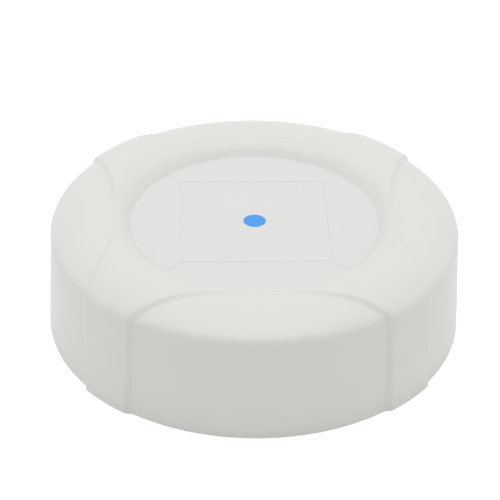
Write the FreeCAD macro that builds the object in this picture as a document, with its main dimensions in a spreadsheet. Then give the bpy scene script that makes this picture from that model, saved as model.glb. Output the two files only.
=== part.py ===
"""Round puck-shaped radio beacon on four AA cells: a parametric document, one STEP file for each piece.

The origin is the middle of the underside, +Z is up and the four shallow lobes lie on the X and Y axes.
All lengths are millimetres and all angles are degrees.
"""

import FreeCAD, Part
import PartDesign
import Sketcher
import math
import os
import re

SIZES = {
    # housing, outside
    "body_radius": 42.5,
    "wall_draft": 2.37,
    "crown_centre_r": 33.15,
    "crown_centre_z": 10.3,
    "crown_radius": 14.6,
    "crown_bands": 8,
    "edge_radius": 1.85,
    "edge_bands": 3,
    "arm_step": 0.75,
    "lobe_apex": 27.8,
    "lobe_arc_radius": 57.0,
    # label recess and label
    "recess_radius": 25.42,
    "recess_floor": 22.95,
    "label_radius": 25.28,
    "label_thickness": 0.5,
    "label_line_half": 14.98,
    "label_line_width": 0.36,
    "label_line_depth": 0.12,
    # housing, inside
    "rim_radius": 41.2,
    "rim_shelf": 2.3,
    "cavity_radius": 39.9,
    "cavity_shoulder_z": 20.2,
    "cavity_top_outer_r": 35.0,
    "cavity_top_inner_r": 30.2,
    "cavity_top_z": 22.9,
    "ceiling_radius": 26.8,
    "ceiling_z": 21.1,
    "boss_circle": 35.5,
    "boss_radius": 3.25,
    "boss_foot_z": 3.6,
    "boss_pilot_radius": 1.25,
    "boss_pilot_top": 15.0,
    "gusset_width": 1.4,
    "fixing_count": 4,
    # base plate
    "plate_radius": 41.05,
    "plate_thickness": 1.8,
    "pad_radius": 4.0,
    "counterbore_radius": 3.0,
    "counterbore_depth": 1.9,
    "clearance_radius": 1.65,
    "standoff_x": 34.0,
    "standoff_y": 12.5,
    "standoff_radius": 2.5,
    "standoff_pilot_radius": 0.85,
    "standoff_pilot_floor": 0.9,
    "base_rib_width": 1.2,
    "base_rib_top": 2.8,
    "base_rib_reach": 38.8,
    "base_rib_count": 4,
    # gasket
    "gasket_inner_r": 39.6,
    "gasket_outer_r": 40.95,
    # case screws
    "case_head_radius": 2.7,
    "case_head_height": 1.6,
    "case_shank_radius": 1.2,
    "case_shank_top": 13.0,
    # circuit board and its screws
    "board_radius": 38.3,
    "board_thickness": 1.6,
    "board_notch_half": 3.75,
    "board_hole_radius": 1.1,
    "board_head_radius": 1.9,
    "board_head_height": 1.3,
    "board_shank_radius": 0.8,
    "board_shank_foot": 1.4,
    # battery holder and cells
    "cell_pitch": 14.7,
    "cell_radius": 7.25,
    "cell_length": 50.5,
    "cell_nub_radius": 2.75,
    "cell_nub_height": 1.0,
    "cell_axis_z": 13.65,
    "cradle_radius": 7.3,
    "holder_half_x": 30.5,
    "holder_half_y": 28.0,
    "holder_corner_radius": 38.75,
    "holder_bay_half_x": 29.4,
    "holder_bay_half_y": 26.6,
    "holder_saddle_top": 10.5,
    "holder_side_top": 14.5,
    "holder_end_top": 18.5,
    "holder_slot_width": 1.0,
    "holder_slot_gap": 0.15,
    # battery contacts
    "contact_thickness": 0.35,
    "contact_half_width": 4.2,
    "contact_foot_z": 7.6,
    "contact_top_z": 18.0,
    "contact_tail_half": 1.0,
    "contact_dimple": 3.4,
    "leaf_half_width": 2.6,
    # shield and what is under it
    "shield_x": 4.5,
    "shield_y": 28.4,
    "shield_length": 10.0,
    "shield_depth": 6.0,
    "shield_height": 1.8,
    "shield_wall": 0.25,
    "shield_corner": 0.8,
    "chip_size": 4.0,
    "chip_height": 0.85,
    "crystal_length": 2.5,
    "crystal_width": 2.0,
    "crystal_height": 0.6,
    # other parts on the board
    "antenna_x": -14.5,
    "antenna_y": 30.6,
    "antenna_length": 9.0,
    "antenna_depth": 2.0,
    "antenna_height": 1.2,
    "antenna_cap": 0.6,
    "led_length": 3.2,
    "led_width": 1.6,
    "led_base_height": 0.6,
    "led_dome_radius": 0.65,
    "led_dome_height": 0.7,
    "led_y": -30.2,
    "capacitor_x": 33.0,
    "capacitor_y": 7.2,
    "capacitor_length": 3.5,
    "capacitor_width": 2.8,
    "capacitor_height": 1.9,
    "inductor_x": -33.0,
    "inductor_y": 7.3,
    "inductor_size": 4.0,
    "inductor_height": 2.0,
    "inductor_corner": 0.7,
    # push button
    "button_x": 9.6,
    "button_y": -31.4,
    "button_size": 6.0,
    "button_height": 3.5,
    "button_corner": 0.5,
    "button_frame_thickness": 0.3,
    "button_frame_hole": 2.1,
    "button_bore_radius": 1.8,
    "button_bore_depth": 2.2,
    "plunger_radius": 1.72,
    "plunger_foot": 0.7,
    "plunger_length": 3.0,
    # slide switch
    "switch_x": -9.5,
    "switch_y": -31.2,
    "switch_length": 8.6,
    "switch_width": 3.8,
    "switch_height": 3.4,
    "switch_bay_length": 6.8,
    "switch_bay_width": 2.7,
    "switch_bay_height": 2.4,
    "switch_slot_length": 3.9,
    "switch_slot_width": 1.7,
    "switch_travel": 2.0,
    "slider_gap": 0.1,
    "slider_foot_length": 3.0,
    "slider_foot_height": 1.2,
    "slider_knob_length": 1.7,
    "slider_knob_height": 3.0,
}

X_AXIS, Y_AXIS, ORIGIN = -1, -2, -1
TINY = 1e-9
NAME = re.compile(r"[a-z][a-z_]*")

doc = FreeCAD.newDocument("beacon")
sheet = doc.addObject("Spreadsheet::Sheet", "Sizes")
pieces = []


def fill_sheet():
    """Write every driving size as text in one row of the sheet, under its own alias."""
    for row, (name, value) in enumerate(SIZES.items(), start=1):
        sheet.set("A%d" % row, name)
        sheet.set("B%d" % row, str(value))
        sheet.setAlias("B%d" % row, name)
    doc.recompute()


def link(text):
    """An expression for another object: every size name becomes a reference to its cell."""
    return NAME.sub(lambda m: "Sizes." + m.group() if m.group() in SIZES else m.group(), str(text))


def number(text):
    """The present value of an expression in the size names."""
    return float(sheet.evalExpression(str(text)))


def bind(thing, **expressions):
    """Bind properties of a document object to expressions in the size names."""
    for name, text in expressions.items():
        thing.setExpression(name.replace("__", "."), link(text))
    return thing


def new_body(name, keep=True):
    """A PartDesign body; a kept one is a piece of the product and is exported under its label."""
    body = doc.addObject("PartDesign::Body", name)
    body.Label = name
    if keep:
        pieces.append(body)
    return body


def datum(body, role):
    """One of a body's own origin planes or axes."""
    return next(item for item in body.Origin.OriginFeatures if item.Role == role)


def sketch(body, plane="XY_Plane", height="0", turn=0):
    """An empty sketch on an origin plane, moved along its normal and turned about it."""
    made = body.newObject("Sketcher::SketchObject", body.Name + "_sketch")
    made.AttachmentSupport = (datum(body, plane), "")
    made.MapMode = "FlatFace"
    made.AttachmentOffset = FreeCAD.Placement(
        FreeCAD.Vector(), FreeCAD.Rotation(FreeCAD.Vector(0, 0, 1), turn)
    )
    made.setExpression("AttachmentOffset.Base.z", link(height))
    return made


def pin(made, geometry, point, x, y):
    """Hold a point of a sketch at expressions for its two coordinates."""
    for kind, text, axis in (("DistanceX", x, Y_AXIS), ("DistanceY", y, X_AXIS)):
        value = number(text)
        if abs(value) < TINY:
            made.addConstraint(Sketcher.Constraint("PointOnObject", geometry, point, axis))
        else:
            row = made.addConstraint(Sketcher.Constraint(kind, ORIGIN, 1, geometry, point, value))
            made.setExpression("Constraints[%d]" % row, link(text))


def size_constraint(made, kind, geometry, text):
    """Give a radius or an angle of one piece of geometry an expression."""
    value = math.radians(number(text)) if kind == "Angle" else number(text)
    row = made.addConstraint(Sketcher.Constraint(kind, geometry, value))
    made.setExpression("Constraints[%d]" % row, link(text))


def circle(made, x, y, radius):
    """A circle with its centre pinned."""
    centre = FreeCAD.Vector(number(x), number(y), 0)
    row = made.addGeometry(Part.Circle(centre, FreeCAD.Vector(0, 0, 1), number(radius)))
    pin(made, row, 3, x, y)
    size_constraint(made, "Radius", row, radius)


def outline(made, corners):
    """A closed outline of straight lines with every corner pinned."""
    places = [FreeCAD.Vector(number(x), number(y), 0) for x, y in corners]
    rows = [
        made.addGeometry(Part.LineSegment(start, end))
        for start, end in zip(places, places[1:] + places[:1])
    ]
    for row, following in zip(rows, rows[1:] + rows[:1]):
        made.addConstraint(Sketcher.Constraint("Coincident", row, 2, following, 1))
    for row, (x, y) in zip(rows, corners):
        pin(made, row, 1, x, y)


def rectangle(made, low_x, low_y, high_x, high_y):
    """An upright rectangle between two corners."""
    outline(made, [(low_x, low_y), (high_x, low_y), (high_x, high_y), (low_x, high_y)])


def block(made, x, y, length, width):
    """An upright rectangle about a middle."""
    rectangle(
        made,
        "%s - (%s) / 2" % (x, length),
        "%s - (%s) / 2" % (y, width),
        "%s + (%s) / 2" % (x, length),
        "%s + (%s) / 2" % (y, width),
    )


def feature(body, kind, made, flipped=False, **sizes):
    """A PartDesign feature on a sketch, recomputed and set as the body's tip."""
    added = body.newObject("PartDesign::" + kind, body.Name + "_" + kind.lower())
    added.Profile = made
    added.Reversed = flipped
    bind(added, **sizes)
    body.Tip = added
    doc.recompute()
    return added


def pad(body, made, length, down=False):
    """Add material from a sketch along its normal, or against it."""
    return feature(body, "Pad", made, down, Length=length)


def pocket(body, made, depth, up=False):
    """Cut a sketch into the body, and make sure that something was cut."""
    before = body.Shape.Volume
    cut = feature(body, "Pocket", made, up, Length=depth)
    if body.Shape.Volume >= before:
        raise ValueError("a pocket of %s cuts nothing" % body.Label)
    return cut


def turned(body, made, kind="Revolution"):
    """A full turn of a sketch about its own vertical axis."""
    added = feature(body, kind, made)
    added.ReferenceAxis = (made, ["V_Axis"])
    added.Angle = 360
    doc.recompute()
    return added


def around(body, originals, count):
    """Repeat features round the vertical axis."""
    pattern = body.newObject("PartDesign::PolarPattern", body.Name + "_around")
    pattern.Originals = originals
    pattern.Axis = (datum(body, "Z_Axis"), [""])
    pattern.Angle = 360
    bind(pattern, Occurrences=count)
    body.Tip = pattern
    doc.recompute()
    return pattern


def edge_names(shape, chosen):
    """The names of the edges that a test picks."""
    return ["Edge%d" % row for row, edge in enumerate(shape.Edges, start=1) if chosen(edge)]


def is_upright(edge):
    """Whether an edge is a straight line along Z."""
    ends = [vertex.Point for vertex in edge.Vertexes]
    flat = math.hypot(ends[0].x - ends[-1].x, ends[0].y - ends[-1].y)
    return len(ends) == 2 and flat < TINY + 1e-6 and abs(ends[0].z - ends[1].z) > 1e-3


def round_corners(body, radius):
    """Fillet the upright edges of a body."""
    base = body.Tip
    fillet = body.newObject("PartDesign::Fillet", body.Name + "_fillet")
    fillet.Base = (base, edge_names(base.Shape, is_upright))
    bind(fillet, Radius=radius)
    body.Tip = fillet
    doc.recompute()
    return fillet


# The housing


def bands(middle, size, first, last, count):
    """Corners of a round stretch that is drawn in even straight runs between two angles."""
    angles = [first + (last - first) * step / count for step in range(count + 1)]
    return [
        (
            "%.5f + (%s) * cos(%.5f)" % (middle.x, size, math.degrees(angle)),
            "%.5f + (%s) * sin(%.5f)" % (middle.y, size, math.degrees(angle)),
        )
        for angle in angles
    ]


def crown_sketch(body, offset):
    """Half section of the puck: drafted wall, rounded edge, crown arc and label recess.

    The raised frame and the lower lobes share one crown centre, so the frame is the lobes' section
    moved outwards by the step. Both round stretches are drawn in bands, which keeps the facets few.
    """
    radius = "body_radius + %s" % offset
    crown = "crown_radius + %s" % offset
    edge = "edge_radius + %s" % offset
    wall, arc, small = number(radius), number(crown), number(edge)
    centre = FreeCAD.Vector(number("crown_centre_r"), number("crown_centre_z"), 0)
    draft = math.radians(number("wall_draft"))
    normal = FreeCAD.Vector(math.cos(draft), math.sin(draft), 0)
    along = FreeCAD.Vector(-math.sin(draft), math.cos(draft), 0)
    out = wall * math.cos(draft) - small - centre.dot(normal)
    rounding = centre + normal * out + along * math.sqrt((arc - small) ** 2 - out**2)
    join = math.atan2(rounding.y - centre.y, rounding.x - centre.x)
    lip = math.acos((number("recess_radius") - centre.x) / arc)
    shoulder = bands(rounding, edge, draft, join, SIZES["edge_bands"])
    dome = bands(centre, crown, join, lip, SIZES["crown_bands"])

    recess = [("recess_radius", dome[-1][1]), ("recess_radius", "recess_floor"), ("0", "recess_floor")]
    made = sketch(body, "XZ_Plane")
    outline(made, [("0", "0"), (radius, "0")] + shoulder + dome[1:-1] + recess)
    return made


def puck_form(name, offset):
    """A solid puck of one of the two levels of the housing."""
    body = new_body(name, keep=False)
    turned(body, crown_sketch(body, offset))
    return body


def lobe_cutter():
    """Four lens-shaped cutters that take the frame down to the lobes: big drums less the lobes' form."""
    lobes = puck_form("lobe_form", "0")
    lobes.Placement = FreeCAD.Placement(
        FreeCAD.Vector(), FreeCAD.Rotation(FreeCAD.Vector(0, 0, 1), 45)
    )
    drums = []
    for step in range(4):
        drum = doc.addObject("Part::Cylinder", "lobe_drum_%d" % (step + 1))
        bind(
            drum,
            Radius="lobe_arc_radius",
            Height="2 * body_radius",
            Placement__Base__x="(lobe_apex + lobe_arc_radius) * cos(%d)" % (90 * step),
            Placement__Base__y="(lobe_apex + lobe_arc_radius) * sin(%d)" % (90 * step),
            Placement__Base__z="-arm_step",
            Placement__Rotation__Angle=90 * step + 180,
        )
        drums.append(drum)
    ring = doc.addObject("Part::Compound", "lobe_drums")
    ring.Links = drums
    cutter = doc.addObject("Part::Cut", "lobe_cutter")
    cutter.Base = ring
    cutter.Tool = lobes
    return cutter


def shell_core():
    """The mould core: the space inside the housing, with the fixing bosses left out of it."""
    core = new_body("shell_core", keep=False)
    section = sketch(core, "XZ_Plane")
    outline(
        section,
        [
            ("0", "0"),
            ("rim_radius", "0"),
            ("rim_radius", "rim_shelf"),
            ("cavity_radius", "rim_shelf"),
            ("cavity_radius", "cavity_shoulder_z"),
            ("cavity_top_outer_r", "cavity_top_z"),
            ("cavity_top_inner_r", "cavity_top_z"),
            ("ceiling_radius", "ceiling_z"),
            ("0", "ceiling_z"),
        ],
    )
    turned(core, section)

    boss = sketch(core, height="boss_foot_z")
    circle(boss, "boss_circle", "0", "boss_radius")
    boss_cut = pocket(core, boss, "body_radius", up=True)
    gusset = sketch(core, height="boss_foot_z")
    rectangle(gusset, "boss_circle", "-gusset_width / 2", "rim_radius", "gusset_width / 2")
    gusset_cut = pocket(core, gusset, "body_radius", up=True)
    pilot = sketch(core, height="boss_foot_z")
    circle(pilot, "boss_circle", "0", "boss_pilot_radius")
    pin_pad = pad(core, pilot, "boss_pilot_top - boss_foot_z")
    around(core, [boss_cut, gusset_cut, pin_pad], "fixing_count")
    return core


def top_shell():
    """The moulded housing: raised four-armed frame, four lobes, label recess, bosses and rim."""
    outside = doc.addObject("Part::Cut", "housing_outside")
    outside.Base = puck_form("frame_form", "arm_step")
    outside.Tool = lobe_cutter()
    shell = doc.addObject("Part::Cut", "top_shell")
    shell.Base = outside
    shell.Tool = shell_core()
    shell.Label = "top_shell"
    pieces.append(shell)


def face_label():
    """The round overlay in the recess, with its fine square and corner lines."""
    body = new_body("face_label")
    disc = sketch(body, height="recess_floor")
    circle(disc, "0", "0", "label_radius")
    pad(body, disc, "label_thickness")
    top = "recess_floor + label_thickness"
    square = sketch(body, height=top)
    outer, inner = "label_line_half + label_line_width / 2", "label_line_half - label_line_width / 2"
    for half in (outer, inner):
        rectangle(square, "-(%s)" % half, "-(%s)" % half, half, half)
    pocket(body, square, "label_line_depth")
    corner = sketch(body, height=top, turn=45)
    rectangle(
        corner,
        "label_line_half * sqrt(2)",
        "-label_line_width / 2",
        "label_radius + label_line_width",
        "label_line_width / 2",
    )
    around(body, [pocket(body, corner, "label_line_depth")], "4")


# The base


BOARD_SCREW_PLACES = [("standoff_x", "standoff_y"), ("-standoff_x", "-standoff_y")]


def base_plate():
    """The screwed base: flat disc, ribs, and the pads and posts that carry the board."""
    body = new_body("base_plate")
    disc = sketch(body)
    circle(disc, "0", "0", "plate_radius")
    pad(body, disc, "plate_thickness")
    rib = sketch(body, turn=45)
    rectangle(
        rib,
        "0",
        "-base_rib_width / 2",
        "base_rib_reach",
        "base_rib_width / 2",
    )
    around(body, [pad(body, rib, "base_rib_top")], "base_rib_count")

    raised = sketch(body)
    circle(raised, "boss_circle", "0", "pad_radius")
    screw_pad = pad(body, raised, "boss_foot_z")
    around(body, [screw_pad], "fixing_count")
    bore = sketch(body)
    circle(bore, "boss_circle", "0", "clearance_radius")
    through = pocket(body, bore, "boss_foot_z", up=True)
    seat = sketch(body)
    circle(seat, "boss_circle", "0", "counterbore_radius")
    around(body, [through, pocket(body, seat, "counterbore_depth", up=True)], "fixing_count")

    posts = sketch(body)
    pilots = sketch(body, height="boss_foot_z")
    for x, y in BOARD_SCREW_PLACES:
        circle(posts, x, y, "standoff_radius")
        circle(pilots, x, y, "standoff_pilot_radius")
    pad(body, posts, "boss_foot_z")
    pocket(body, pilots, "boss_foot_z - standoff_pilot_floor")


def gasket():
    """The flat seal between the base plate's edge and the shelf inside the housing."""
    body = new_body("seal_gasket")
    ring = sketch(body, height="plate_thickness")
    circle(ring, "0", "0", "gasket_outer_r")
    circle(ring, "0", "0", "gasket_inner_r")
    pad(body, ring, "rim_shelf - plate_thickness")


def screw_group(name, places, seat_z, head_up, head, shank):
    """Separate equal screws in one piece, each a turned head and shank with a slot.

    places is a list of expression pairs; head and shank are (radius, length) expressions.
    """
    body = new_body(name)
    heads = sketch(body, height=seat_z)
    shanks = sketch(body, height=seat_z)
    top = "%s + %s" % (seat_z, head[1]) if head_up else "%s - %s" % (seat_z, head[1])
    slots = sketch(body, height=top)
    for x, y in places:
        circle(heads, x, y, head[0])
        circle(shanks, x, y, shank[0])
        block(slots, x, y, "1.15 * %s" % head[0], "0.3 * %s" % head[0])
    pad(body, heads, head[1], down=not head_up)
    pad(body, shanks, shank[1], down=head_up)
    pocket(body, slots, "%s / 2" % head[1], up=not head_up)


def screws():
    """Four case screws from below and two board screws from above."""
    circle_places = [
        ("boss_circle", "0"),
        ("0", "boss_circle"),
        ("-boss_circle", "0"),
        ("0", "-boss_circle"),
    ]
    screw_group(
        "case_screws",
        circle_places,
        "counterbore_depth",
        False,
        ("case_head_radius", "case_head_height"),
        ("case_shank_radius", "case_shank_top - counterbore_depth"),
    )
    screw_group(
        "board_screws",
        BOARD_SCREW_PLACES,
        "boss_foot_z + board_thickness",
        True,
        ("board_head_radius", "board_head_height"),
        ("board_shank_radius", "boss_foot_z + board_thickness - board_shank_foot"),
    )


BOARD_TOP = "(boss_foot_z + board_thickness)"


def circuit_board():
    """The round board, notched for the housing's bosses and drilled for its own screws."""
    body = new_body("circuit_board")
    disc = sketch(body, height="boss_foot_z")
    circle(disc, "0", "0", "board_radius")
    for x, y in BOARD_SCREW_PLACES:
        circle(disc, x, y, "board_hole_radius")
    pad(body, disc, "board_thickness")
    notch = sketch(body, height="boss_foot_z")
    block(notch, "boss_circle", "0", "2 * board_notch_half", "2 * board_notch_half")
    around(body, [pocket(body, notch, "board_thickness", up=True)], "fixing_count")


# The cells and their holder


# name, end (1 for +Y, -1 for -Y) and the cells that each contact touches, in the order of the series
CONTACTS = [
    ("positive_terminal", 1, [1]),
    ("link_contact_1", -1, [1, 2]),
    ("link_contact_2", 1, [2, 3]),
    ("link_contact_3", -1, [3, 4]),
    ("negative_terminal", 1, [4]),
]


def cell_x(row):
    """Where the axis of one of the four cells lies across the holder."""
    return "%s * cell_pitch" % (row - 2.5)


def battery_holder():
    """The moulded cradle: scalloped saddles, end walls with contact slots, and trimmed corners."""
    body = new_body("battery_holder")
    base = BOARD_TOP
    full = sketch(body, height=base)
    rectangle(full, "-holder_half_x", "-holder_half_y", "holder_half_x", "holder_half_y")
    pad(body, full, "holder_end_top - %s" % base)
    bay = sketch(body, height="holder_end_top")
    rectangle(
        bay, "-holder_bay_half_x", "-holder_bay_half_y", "holder_bay_half_x", "holder_bay_half_y"
    )
    pocket(body, bay, "holder_end_top - holder_saddle_top")
    sides = sketch(body, height="holder_end_top")
    side_wall = "(holder_half_x - holder_bay_half_x)"
    for side in ("-1", "1"):
        middle = "%s * holder_half_x" % side
        block(sides, middle, "0", "4 * %s" % side_wall, "2 * holder_bay_half_y")
    pocket(body, sides, "holder_end_top - holder_side_top")
    bay_length = "2 * (holder_bay_half_y - holder_slot_width)"
    saddles = sketch(body, "XZ_Plane", height="-(%s) / 2" % bay_length)
    for row in (1, 2, 3, 4):
        circle(saddles, cell_x(row), "cell_axis_z", "cradle_radius")
    pocket(body, saddles, bay_length, up=True)
    slots = sketch(body, height="holder_saddle_top")
    tails = sketch(body, height="contact_foot_z")
    for _, end, rows in CONTACTS:
        middle = "%d * (holder_bay_half_y - holder_slot_width / 2)" % end
        plate_x = "(%s + %s) / 2" % (cell_x(rows[0]), cell_x(rows[-1]))
        span = "%d * cell_pitch + 2 * (contact_half_width + holder_slot_gap)" % (len(rows) - 1)
        tail_x = cell_x(rows[0] if end == 1 else rows[-1])
        block(slots, plate_x, middle, span, "holder_slot_width")
        block(tails, tail_x, middle, "2 * (contact_tail_half + holder_slot_gap)", "holder_slot_width")
    pocket(body, slots, "holder_saddle_top - contact_foot_z")
    pocket(body, tails, "contact_foot_z - %s" % base)

    trim = doc.addObject("Part::Cylinder", "holder_trim")
    bind(trim, Radius="holder_corner_radius", Height="holder_end_top", Placement__Base__z="0")
    holder = doc.addObject("Part::Common", "battery_holder_trimmed")
    holder.Base = body
    holder.Tool = trim
    body.Label = "battery_holder_block"
    holder.Label = "battery_holder"
    pieces.remove(body)
    pieces.append(holder)


def battery_cells():
    """Four AA cells side by side, each turned end for end from its neighbour."""
    for row in (1, 2, 3, 4):
        body = new_body("battery_cell_%d" % row)
        section = sketch(body, "XZ_Plane")
        outline(
            section,
            [
                ("0", "-cell_length / 2"),
                ("cell_radius", "-cell_length / 2"),
                ("cell_radius", "cell_length / 2 - cell_nub_height"),
                ("cell_nub_radius", "cell_length / 2 - cell_nub_height"),
                ("cell_nub_radius", "cell_length / 2"),
                ("0", "cell_length / 2"),
            ],
        )
        turned(body, section)
        lean = -90 if row % 2 else 90
        place = FreeCAD.Vector(number(cell_x(row)), 0, number("cell_axis_z"))
        body.Placement = FreeCAD.Placement(
            place, FreeCAD.Rotation(FreeCAD.Vector(1, 0, 0), lean)
        )
        body.setExpression("Placement.Base.x", link(cell_x(row)))
        body.setExpression("Placement.Base.z", link("cell_axis_z"))


def contact(name, end, rows):
    """A sprung sheet contact against one end wall, for one cell or for a linked pair.

    A contact for the wall at -Y is built at +Y, for the cells counted from the other side, and then
    turned half round. A cell's raised pole meets a pressed pad, and its flat pole meets a bent leaf.
    """
    body = new_body(name)
    if end == -1:
        rows = sorted(5 - row for row in rows)
    low, high = cell_x(rows[0]), cell_x(rows[-1])
    wall = "holder_bay_half_y"
    face = "%s - contact_thickness" % wall
    plate = sketch(body, "XZ_Plane", height="-(%s)" % face)
    rectangle(
        plate,
        "%s - contact_half_width" % low,
        "contact_foot_z",
        "%s + contact_half_width" % high,
        "contact_top_z",
    )
    pad(body, plate, "contact_thickness", down=True)
    tail = sketch(body, "XZ_Plane", height="-(%s)" % face)
    rectangle(
        tail, "%s - contact_tail_half" % low, BOARD_TOP, "%s + contact_tail_half" % low, "contact_foot_z"
    )
    pad(body, tail, "contact_thickness", down=True)
    for row in rows:
        if row % 2 == 1:
            dimple = sketch(body, "XZ_Plane", height="-(%s)" % face)
            block(dimple, cell_x(row), "cell_axis_z", "contact_dimple", "contact_dimple")
            pad(body, dimple, "%s - cell_length / 2" % face)
        else:
            leaf = sketch(body, "YZ_Plane", height="%s - leaf_half_width" % cell_x(row))
            outline(
                leaf,
                [
                    (face, "contact_top_z - 0.6"),
                    ("cell_length / 2", "cell_axis_z"),
                    ("%s - 0.2" % face, "cell_axis_z - 3.4"),
                    ("%s" % face, "cell_axis_z - 3.2"),
                    ("cell_length / 2 + contact_thickness", "cell_axis_z"),
                    (face, "contact_top_z - 1.6"),
                ],
            )
            pad(body, leaf, "2 * leaf_half_width")
    if end == -1:
        body.Placement = FreeCAD.Placement(
            FreeCAD.Vector(), FreeCAD.Rotation(FreeCAD.Vector(0, 0, 1), 180)
        )


def contacts():
    """The five contacts that put the cells in series."""
    for name, end, rows in CONTACTS:
        contact(name, end, rows)


# The parts on the board


def box_on_board(name, x, y, length, width, height):
    """A plain block standing on the board, as the start of a component."""
    body = new_body(name)
    foot = sketch(body, height=BOARD_TOP)
    block(foot, x, y, length, width)
    pad(body, foot, height)
    return body


def shield_can():
    """The pressed screening can over the radio, open underneath."""
    x, y = "(shield_x + shield_length / 2)", "(shield_y + shield_depth / 2)"
    body = box_on_board("shield_can", x, y, "shield_length", "shield_depth", "shield_height")
    round_corners(body, "shield_corner")
    inside = sketch(body, height=BOARD_TOP)
    block(inside, x, y, "shield_length - 2 * shield_wall", "shield_depth - 2 * shield_wall")
    pocket(body, inside, "shield_height - shield_wall", up=True)


def radio_parts():
    """The radio chip and its crystal, side by side under the can, and the antenna beside it."""
    middle = "(shield_y + shield_depth / 2)"
    chip_x = "(shield_x + shield_wall + 0.6 + chip_size / 2)"
    box_on_board("radio_chip", chip_x, middle, "chip_size", "chip_size", "chip_height")

    crystal_x = "(shield_x + shield_length - shield_wall - 0.7 - crystal_length / 2)"
    crystal = box_on_board(
        "crystal", crystal_x, middle, "crystal_length", "crystal_width", "crystal_height"
    )
    lid = sketch(crystal, height="%s + crystal_height" % BOARD_TOP)
    block(lid, crystal_x, middle, "crystal_length - 0.5", "crystal_width - 0.5")
    pad(crystal, lid, "crystal_height / 3")

    antenna_x = "(antenna_x + antenna_length / 2)"
    antenna = box_on_board(
        "chip_antenna", antenna_x, "antenna_y", "antenna_length", "antenna_depth", "antenna_height"
    )
    waist = sketch(antenna, height="%s + antenna_height" % BOARD_TOP)
    block(waist, antenna_x, "antenna_y", "antenna_length - 2 * antenna_cap", "antenna_depth")
    pocket(antenna, waist, "antenna_height / 12")


def power_parts():
    """The bulk capacitor and the converter's inductor, each beside one case screw."""
    capacitor = box_on_board(
        "bulk_capacitor",
        "capacitor_x",
        "capacitor_y",
        "capacitor_width",
        "capacitor_length",
        "capacitor_height",
    )
    band = sketch(capacitor, height="%s + capacitor_height" % BOARD_TOP)
    block(
        band,
        "capacitor_x",
        "(capacitor_y + capacitor_length / 3)",
        "capacitor_width",
        "capacitor_length / 8",
    )
    pocket(capacitor, band, "capacitor_height / 20")
    inductor = box_on_board(
        "power_inductor",
        "inductor_x",
        "inductor_y",
        "inductor_size",
        "inductor_size",
        "inductor_height",
    )
    round_corners(inductor, "inductor_corner")


def status_led():
    """The small indicator lamp beside the push button."""
    body = box_on_board("status_led", "0", "led_y", "led_length", "led_width", "led_base_height")
    dome = sketch(body, height="%s + led_base_height" % BOARD_TOP)
    circle(dome, "0", "led_y", "led_dome_radius")
    pad(body, dome, "led_dome_height")


def push_button():
    """The pairing button: moulded housing, pressed frame and the plunger that travels in them."""
    housing = box_on_board(
        "button_housing", "button_x", "button_y", "button_size", "button_size", "button_height"
    )
    round_corners(housing, "button_corner")
    bore = sketch(housing, height="%s + button_height" % BOARD_TOP)
    circle(bore, "button_x", "button_y", "button_bore_radius")
    pocket(housing, bore, "button_bore_depth")

    frame = new_body("button_frame")
    sheet_metal = sketch(frame, height="%s + button_height" % BOARD_TOP)
    block(sheet_metal, "button_x", "button_y", "button_size", "button_size")
    circle(sheet_metal, "button_x", "button_y", "button_frame_hole")
    pad(frame, sheet_metal, "button_frame_thickness")
    round_corners(frame, "button_corner")

    plunger = new_body("button_plunger")
    foot = "%s + button_height - button_bore_depth + plunger_foot" % BOARD_TOP
    stem = sketch(plunger, height=foot)
    circle(stem, "button_x", "button_y", "plunger_radius")
    pad(plunger, stem, "plunger_length")


def slide_switch():
    """The power switch: case with its slot, and the slider that is trapped inside by its foot."""
    case = box_on_board(
        "switch_case", "switch_x", "switch_y", "switch_length", "switch_width", "switch_height"
    )
    bay = sketch(case, height=BOARD_TOP)
    block(bay, "switch_x", "switch_y", "switch_bay_length", "switch_bay_width")
    pocket(case, bay, "switch_bay_height", up=True)
    slot = sketch(case, height="%s + switch_height" % BOARD_TOP)
    block(slot, "switch_x", "switch_y", "switch_slot_length", "switch_slot_width")
    pocket(case, slot, "switch_height - switch_bay_height / 2")

    slider = new_body("switch_slider")
    middle = "(switch_x - switch_travel / 2)"
    shoulder = "%s + switch_bay_height - slider_gap" % BOARD_TOP
    foot = sketch(slider, height=shoulder)
    block(foot, middle, "switch_y", "slider_foot_length", "switch_bay_width - 2 * slider_gap")
    pad(slider, foot, "slider_foot_height", down=True)
    knob = sketch(slider, height=shoulder)
    block(knob, middle, "switch_y", "slider_knob_length", "switch_slot_width - 2 * slider_gap")
    pad(slider, knob, "slider_knob_height")


def check_document():
    """Stop if any object failed, or any piece is missing or not a sound solid."""
    doc.recompute()
    failed = [
        item.Label for item in doc.Objects if {"Invalid", "Error"} & set(item.State)
    ]
    unsound = [
        piece.Label for piece in pieces if piece.Shape.isNull() or not piece.Shape.isValid()
    ]
    if failed or unsound:
        raise SystemExit("failed: %s; unsound: %s" % (failed, unsound))


def export_pieces():
    """Write each piece to its own STEP file, named after its label."""
    os.makedirs("parts", exist_ok=True)
    for piece in pieces:
        shape = piece.Shape
        shape.exportStep("parts/%s.step" % piece.Label)
        print("%-20s %2d solids %9.1f mm3" % (piece.Label, len(shape.Solids), shape.Volume))


fill_sheet()
top_shell()
face_label()
base_plate()
gasket()
screws()
circuit_board()
battery_holder()
battery_cells()
contacts()
shield_can()
radio_parts()
power_parts()
status_led()
push_button()
slide_switch()
check_document()
export_pieces()
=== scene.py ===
"""Looks, light and camera for a round white radio beacon that stands on a pale floor.

The moulded housing, the label and the screws are modelled here in full detail, and every other piece keeps
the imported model's shape with a finish of its own. Sizes in the classes are millimetres, and a mesh is
brought to metres when it is published. The floor, the lights and the camera are placed in metres.
"""

import logging
import math
from dataclasses import dataclass, field
from enum import Enum
from typing import Any, Dict, List, Mapping, Optional, Protocol, Sequence, Tuple, Union

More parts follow.
